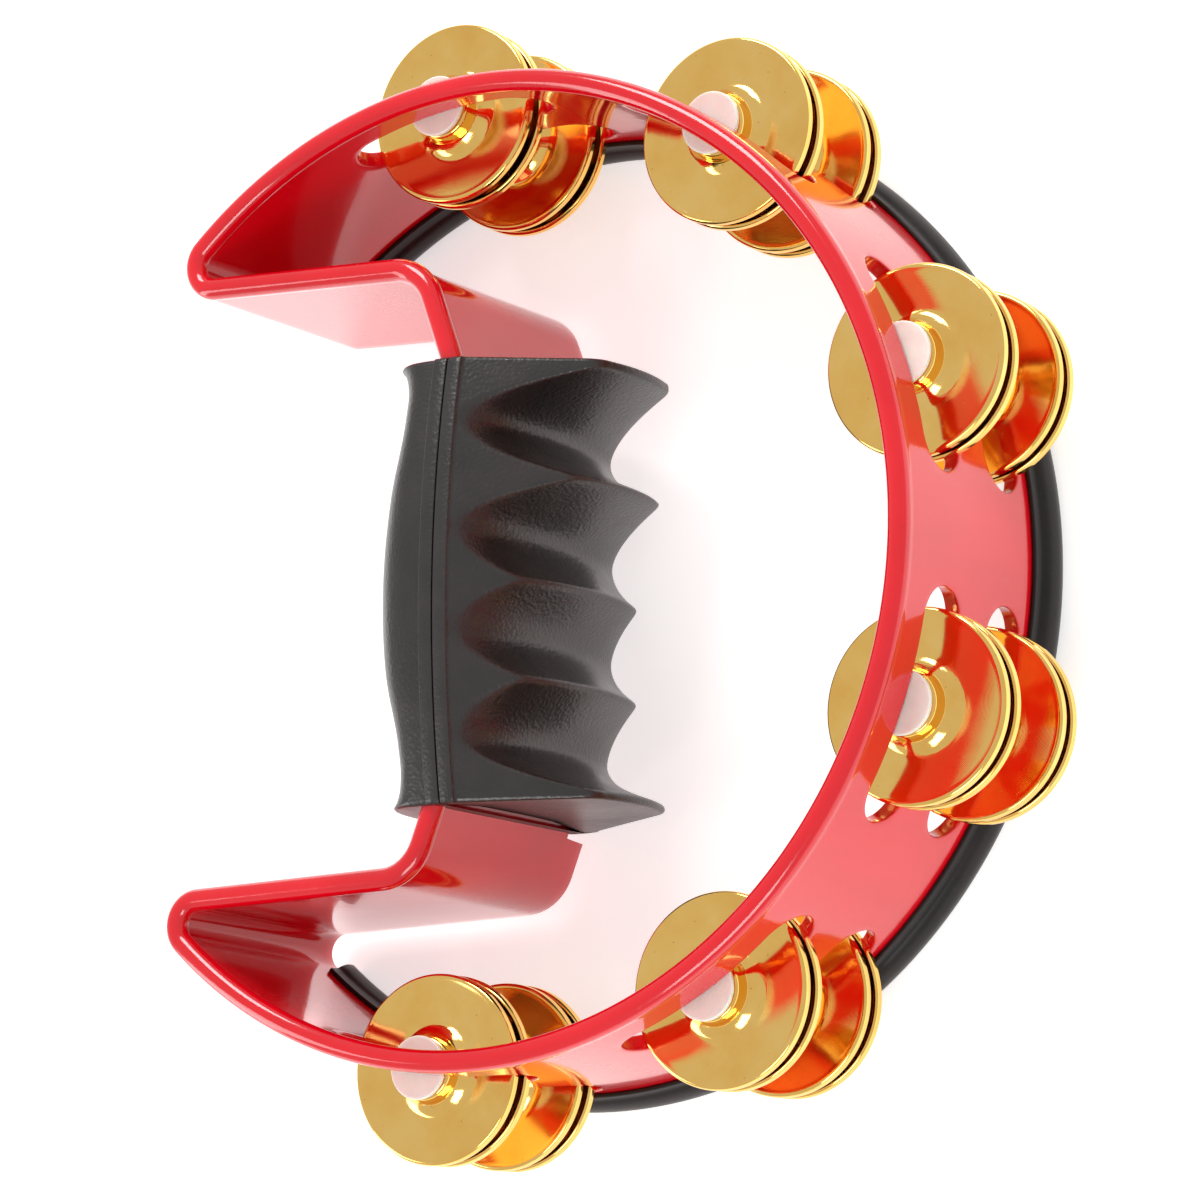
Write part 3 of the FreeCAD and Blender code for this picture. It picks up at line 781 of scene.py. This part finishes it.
def lip_to_corner(lip, rise):
    """Flat side from the foot of a seam lip, and the rounded corner after it."""
    corner = np.array((FINGER_CORNER[0], GRIP_MIDDLE + rise))
    way = unit(corner - lip)
    length = np.hypot(*(corner - lip)) - CORNER_ROUNDING
    flat = [lip + way * share * length for share in np.linspace(0, 1, 14)]
    before = corner - way * CORNER_ROUNDING
    after = corner + unit(np.array((FINGER_REACH, GRIP_MIDDLE)) - corner) * CORNER_ROUNDING
    return flat + [bent(before, corner, after, share) for share in np.linspace(0.15, 1, 6)]


def finger_profile(front, back):
    """Un-grooved section from the front lip's foot to the back one, as (x, z)."""
    start = SEAM + SEAM_GAP + LIP_WIDTH + LIP_RISE / 2
    upper = lip_to_corner(np.array((start, front - LIP_RISE)), FINGER_CORNER[1])
    lower = lip_to_corner(np.array((start, back + LIP_RISE)), -FINGER_CORNER[1])
    inner, high = upper[-1]
    bow = []
    for share in np.linspace(0, 1, 12)[1:-1]:
        z = lerp(high, lower[-1][1], share)
        sag = ((z - GRIP_MIDDLE) / (high - GRIP_MIDDLE)) ** 2
        bow.append(np.array((FINGER_REACH - (FINGER_REACH - inner) * sag, z)))
    path = np.array(upper + bow + lower[::-1])
    lengths = np.concatenate(([0], np.cumsum(np.hypot(*np.diff(path, axis=0).T))))
    places = np.linspace(0, lengths[-1], FINGER_POINTS)
    return np.column_stack((np.interp(places, lengths, path[:, 0]),
                            np.interp(places, lengths, path[:, 1])))


def end_place(x, share):
    """y of the grip's point at a share of its length; the ends slant towards the fingers."""
    reach = np.clip((x - SEAM) / (FINGER_REACH - SEAM), 0, 1)
    top = GRIP_TOP - TOP_SLANT * reach
    bottom = GRIP_BOTTOM + BOTTOM_SLANT * reach
    return lerp(bottom, top, share)


def end_shares(count):
    """Shares of a length, closer together near both ends."""
    even = np.linspace(0, 1, count)
    return even - END_CROWDING * np.sin(2 * np.pi * even) / (2 * np.pi)


def add_lip(front, side):
    """Section of a seam lip, from the seam's depth over the flat to its foot."""
    seam = SEAM + SEAM_GAP * side
    edge = seam + LIP_WIDTH * side
    crown = SEAM_CROWN
    return [(seam, front - SEAM_DEPTH), (seam, front - crown),
            (seam + 0.3 * crown * side, front - 0.3 * crown), (seam + crown * side, front),
            (lerp(seam, edge, 0.5), front), (edge - crown * side, front),
            (edge - 0.3 * crown * side, front - 0.3 * crown), (edge, front - crown),
            (edge + 0.15 * side, front - LIP_RISE * 0.75)]


def make_finger_shell(look):
    """The half with the finger grooves."""
    rows = []
    for share in end_shares(FINGER_ROWS):
        y0 = lerp(GRIP_BOTTOM, GRIP_TOP, share)
        front, back = seam_levels(y0)
        profile = finger_profile(front, back)
        y = end_place(profile[:, 0], share)
        across = profile - np.array((GROOVE_AXIS, GRIP_MIDDLE))
        turn = np.arctan2(across[:, 1], across[:, 0])
        plain = np.hypot(across[:, 0], across[:, 1])
        wide = GROOVE_FLOOR + groove_height(y)
        deep = front - GRIP_MIDDLE + GROOVE_DEEPER
        grooved = 1 / np.sqrt((np.cos(turn) / wide) ** 2 + (np.sin(turn) / deep) ** 2)
        radius = soft_min(plain, grooved, GROOVE_BLEND)
        body = np.column_stack((GROOVE_AXIS + radius * np.cos(turn), y,
                                GRIP_MIDDLE + radius * np.sin(turn)))
        lip_front = np.array([(x, end_place(x, share), z) for x, z in add_lip(front, 1)])
        lip_back = np.array([(x, end_place(x, share), GRIP_FRONT + GRIP_BACK - z)
                             for x, z in add_lip(GRIP_FRONT + GRIP_BACK - back, 1)])
        rows.append(np.vstack((lip_front, body, lip_back[::-1])))
    return finish_shell("finger_half", rows, look, "grip_finger_shell")


def make_palm_shell(look):
    """The plain half, swollen in the middle and waisted near both ends."""
    rows = []
    for share in end_shares(PALM_ROWS):
        y = lerp(GRIP_BOTTOM, GRIP_TOP, share)
        front, back = seam_levels(y)
        seam = SEAM - SEAM_GAP
        start = seam - LIP_WIDTH - LIP_RISE / 2
        reach = smooth_table(PALM_REACH, np.array([y]))[0]
        middle = (front + back) / 2
        half = (front - back) / 2 - LIP_RISE * 0.75
        turn = np.linspace(0, np.pi, PALM_POINTS)
        x = start - (reach - (seam - start)) * np.sin(turn) ** PALM_SIDE_POWER
        z = middle + half * np.sign(np.cos(turn)) * np.abs(np.cos(turn)) ** PALM_FRONT_POWER
        body = np.column_stack((x, np.full_like(x, y), z))
        lip_front = np.array([(x, y, z) for x, z in add_lip(front, -1)])
        mirror = GRIP_FRONT + GRIP_BACK
        lip_back = np.array([(x, y, mirror - z) for x, z in add_lip(mirror - back, -1)])
        rows.append(np.vstack((lip_front, body, lip_back[::-1])))
    return finish_shell("palm_half", rows, look, "grip_palm_shell")


def finish_shell(name, rows, look, node):
    """Rounds the rows' two ends, closes them and places the shell."""
    rows = np.array(rows)
    round_off = END_ROUNDING
    capped = []
    for end, inward in ((rows[0], 1.0), (rows[-1], -1.0)):
        middle = np.array((SEAM, 0.0, GRIP_MIDDLE))
        ring = []
        for turn in np.radians((90, 67, 45, 22)):
            pull = round_off * (1 - math.cos(turn))
            reach = np.hypot(end[:, 0] - middle[0], end[:, 2] - middle[2])[:, None]
            scale = 1 - pull / np.maximum(reach, 4)
            spot = end.copy()
            spot[:, [0, 2]] = middle[[0, 2]] + (end[:, [0, 2]] - middle[[0, 2]]) * scale
            spot[:, 1] += inward * round_off * (1 - math.sin(turn))
            ring.append(spot)
        flat = []
        for share in (0.0, 0.35, 0.7):
            spot = ring[0].copy()
            spot[:, 0] = lerp(SEAM, spot[:, 0], share)
            flat.append(spot)
        capped.append(np.array(flat + ring))
    body = rows.copy()
    keep_low = rows[0][:, 1] + round_off
    keep_high = rows[-1][:, 1] - round_off
    body[:, :, 1] = np.clip(body[:, :, 1], keep_low[None, :], keep_high[None, :])
    whole = np.vstack((capped[0], body[2:-2], capped[1][::-1]))
    grids = Grids()
    grids.add(whole)
    shift(grids)
    piece = grids.piece(name, look, 60)
    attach(piece, "root")
    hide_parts(node)
    return piece


# ------------------------------------------------------------------ jingles and bushes
DISH = 0.95
SHEET = 0.7
PLATE_INNER = 13.0
PLATE_OUTER = 22.6
JINGLE_STEPS = 144
BUSH_STEPS = 96
BORE = 1.07
STEM = 3.2
FLANGE_EDGE = 0.35
# flange radius, under and upper side of the flange, and the stem's foot
BUSHES = {"front": (8.05, 7.4, 8.7, 2.6), "back": (6.0, 6.75, 8.05, -1.35)}


def lathe(name, profile, look, steps):
    """A closed profile of (radius, z) turned about Z."""
    turn = np.linspace(0, 2 * np.pi, steps, endpoint=False)
    grids = Grids()
    rows = []
    for radius, z in list(profile) + [profile[0]]:
        rows.append(np.column_stack((radius * np.cos(turn), radius * np.sin(turn),
                                     np.full(steps, z))))
    grids.add(rows, wrap=True)
    return grids.piece(name, look, 50)


def jingle_profile():
    """Curled edge, faintly dished plate, sloping foot and the steep cup; then the back."""
    def dish(radius):
        return DISH * ((radius - 12.0) / 10.6) ** 1.4

    rim = dish(PLATE_OUTER)
    plate = [(radius, dish(radius)) for radius in np.linspace(PLATE_OUTER, PLATE_INNER, 14)]
    under = [(radius, dish(radius) - SHEET)
             for radius in np.linspace(PLATE_INNER, PLATE_OUTER, 14)]
    front = [(24.245, -0.95), (24.235, rim - 0.9), (24.16, rim - 0.5), (23.95, rim - 0.14),
             (23.60, rim + 0.08), (23.20, rim + 0.12), (22.9, rim + 0.07)] + plate
    front += [(12.5, 0.04), (11.9, 0.14), (11.2, 0.42),
              (10.4, 0.95), (9.7, 1.52), (9.1, 2.05), (8.86, 2.32), (8.72, 2.62), (8.58, 3.4),
              (8.44, 4.4), (8.30, 5.3), (8.16, 5.80), (7.90, 6.15), (7.50, 6.34), (6.9, 6.40),
              (5.0, 6.38), (3.75, 6.36), (3.6, 6.28)]
    back = [(3.6, 5.75), (5.0, 5.70), (6.9, 5.70), (7.30, 5.50), (7.46, 5.15), (7.74, 4.3),
            (8.0, 2.7), (8.5, 1.7), (9.4, 0.85), (10.6, 0.0), (11.6, -0.52), (12.4, -0.68)] + under
    back += [(23.0, rim - 0.74), (23.36, rim - 0.95), (23.5, rim - 1.2), (23.55, -0.95),
             (23.7, -1.08), (24.05, -1.08)]
    return front + back


def bush_profile(radius, under, top, foot):
    """Flange with a rounded edge and a shallow dish, stem, and the pin's bore."""
    edge = FLANGE_EDGE
    path = [(BORE, top - 0.25), (1.4, top - 0.22), (radius - 1.3, top - 0.14),
            (radius - 0.8, top - 0.02), (radius - edge, top)]
    path += rounded((radius - edge, top - edge), edge, 75, 0, 5)
    path += rounded((radius - edge, under + edge), edge, 0, -90, 5)
    path += [(3.5, under), (3.28, under - 0.1), (STEM, under - 0.35), (STEM, foot + 0.3),
             (2.95, foot), (1.2, foot), (BORE, foot + 0.15)]
    return path


def make_jingles(look_brass, look_nylon):
    """Every jingle and bush as a copy of one turned shape; quarter turns vary their looks."""
    disc = lathe("jingle_disc", jingle_profile(), look_brass, JINGLE_STEPS)
    bushes = {}
    for member, sizes in BUSHES.items():
        bushes[member] = lathe("bush_disc_" + member, bush_profile(*sizes), look_nylon, BUSH_STEPS)
    for number, station in enumerate(STATIONS, start=1):
        turn = math.radians(station)
        x = (ARC_CENTRE + PIN_CIRCLE * math.cos(turn)) * MM
        y = PIN_CIRCLE * math.sin(turn) * MM
        for row, middle in ROWS.items():
            for member, plate in PLATES.items():
                ending = "_%d_%s_%s" % (number, row, member)
                place = Vector((x, y, (middle + plate) * MM))
                quarter = number + (row == "low") + 2 * (member == "back")
                for kind, source, slot in (("jingle", disc, "brass"),
                                           ("bush", bushes[member], "nylon")):
                    piece = bpy.data.objects.new("turned_" + kind + ending, source.data)
                    bpy.context.scene.collection.objects.link(piece)
                    piece.location = place
                    piece.rotation_euler = (0, 0, quarter * math.pi / 2)
                    bpy.context.view_layer.update()
                    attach(piece, kind + ending)
                    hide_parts(kind + ending)
    for source in [disc] + list(bushes.values()):
        bpy.data.objects.remove(source)


# ------------------------------------------------------------------ stage
PHOTO_EYE = Vector((0.56819 + ARC_CENTRE * MM, -0.19249, 0.91306))
PHOTO_AHEAD = Vector((-0.52298, 0.17831, -0.83348))
PHOTO_UP = Vector((0.08481, 0.98391, 0.15728))
SENSOR_MM = 36.0
LENS_MM = 122.83
FLOOR_HALF = 3.0
FLOOR_DROP = 0.0002
WORLD_STRENGTH = 0.65
# name, place, point aimed at, size and power of each softbox, in metres and watts
SOFTBOXES = (("key_softbox", (-0.2, 1.5, 1.2), (0, 0, 0), (0.9, 0.7), 20),
             ("fill_softbox", (0.4, -1.4, 1.2), (0, 0, 0), (0.8, 0.6), 9),
             ("rim_strip", (-1.2, -0.6, 0.6), (0, 0, 0.04), (0.35, 1.2), 5))


def make_camera():
    """The photograph's view: a long lens above the grip, tilted towards the rim's arc."""
    data = bpy.data.cameras.new("camera")
    data.sensor_width = SENSOR_MM
    data.lens = LENS_MM
    data.clip_start = 0.05
    data.clip_end = 20.0
    camera = bpy.data.objects.new("camera", data)
    bpy.context.scene.collection.objects.link(camera)
    right = PHOTO_AHEAD.cross(PHOTO_UP).normalized()
    up = right.cross(PHOTO_AHEAD).normalized()
    turn = Matrix((right, up, -PHOTO_AHEAD)).transposed().to_4x4()
    camera.matrix_world = Matrix.Translation(PHOTO_EYE) @ turn
    bpy.context.scene.camera = camera


def area_light(name, place, aim, size, power):
    data = bpy.data.lights.new(name, "AREA")
    data.shape = "RECTANGLE"
    data.size, data.size_y = size
    data.energy = power
    light = bpy.data.objects.new(name, data)
    light.location = place
    light.rotation_mode = "QUATERNION"
    light.rotation_quaternion = (Vector(aim) - Vector(place)).to_track_quat("-Z", "Y")
    bpy.context.scene.collection.objects.link(light)


def make_stage():
    """Pale floor, soft lights and an even white surround."""
    mesh = bpy.data.meshes.new("floor")
    half = FLOOR_HALF
    corners = [(-half, -half, 0), (half, -half, 0), (half, half, 0), (-half, half, 0)]
    mesh.from_pydata(corners, [], [(0, 1, 2, 3)])
    floor = bpy.data.objects.new("floor", mesh)
    floor.location.z = CAD_BOX[0][2] - FLOOR_DROP
    bpy.context.scene.collection.objects.link(floor)
    mesh.materials.append(studio_floor())
    for softbox in SOFTBOXES:
        area_light(*softbox)
    world = bpy.data.worlds.new("studio")
    world.use_nodes = True
    background = world.node_tree.nodes["Background"]
    background.inputs["Color"].default_value = (1, 1, 1, 1)
    background.inputs["Strength"].default_value = WORLD_STRENGTH
    bpy.context.scene.world = world


# ------------------------------------------------------------------ build
LOOKS = {"red": red_plastic(), "brass": brass(), "nylon": nylon(), "grip": grip_rubber(),
         "bumper": bumper_rubber(), "steel": pin_steel()}
for name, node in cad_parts.items():
    if name.startswith("pin"):
        node.data.materials.clear()
        node.data.materials.append(LOOKS["steel"])

make_frame(LOOKS["red"])
make_bumper(LOOKS["bumper"])
make_finger_shell(LOOKS["grip"])
make_palm_shell(LOOKS["grip"])
make_jingles(LOOKS["brass"], LOOKS["nylon"])
make_camera()
make_stage()
bpy.context.scene.view_settings.view_transform = "Standard"
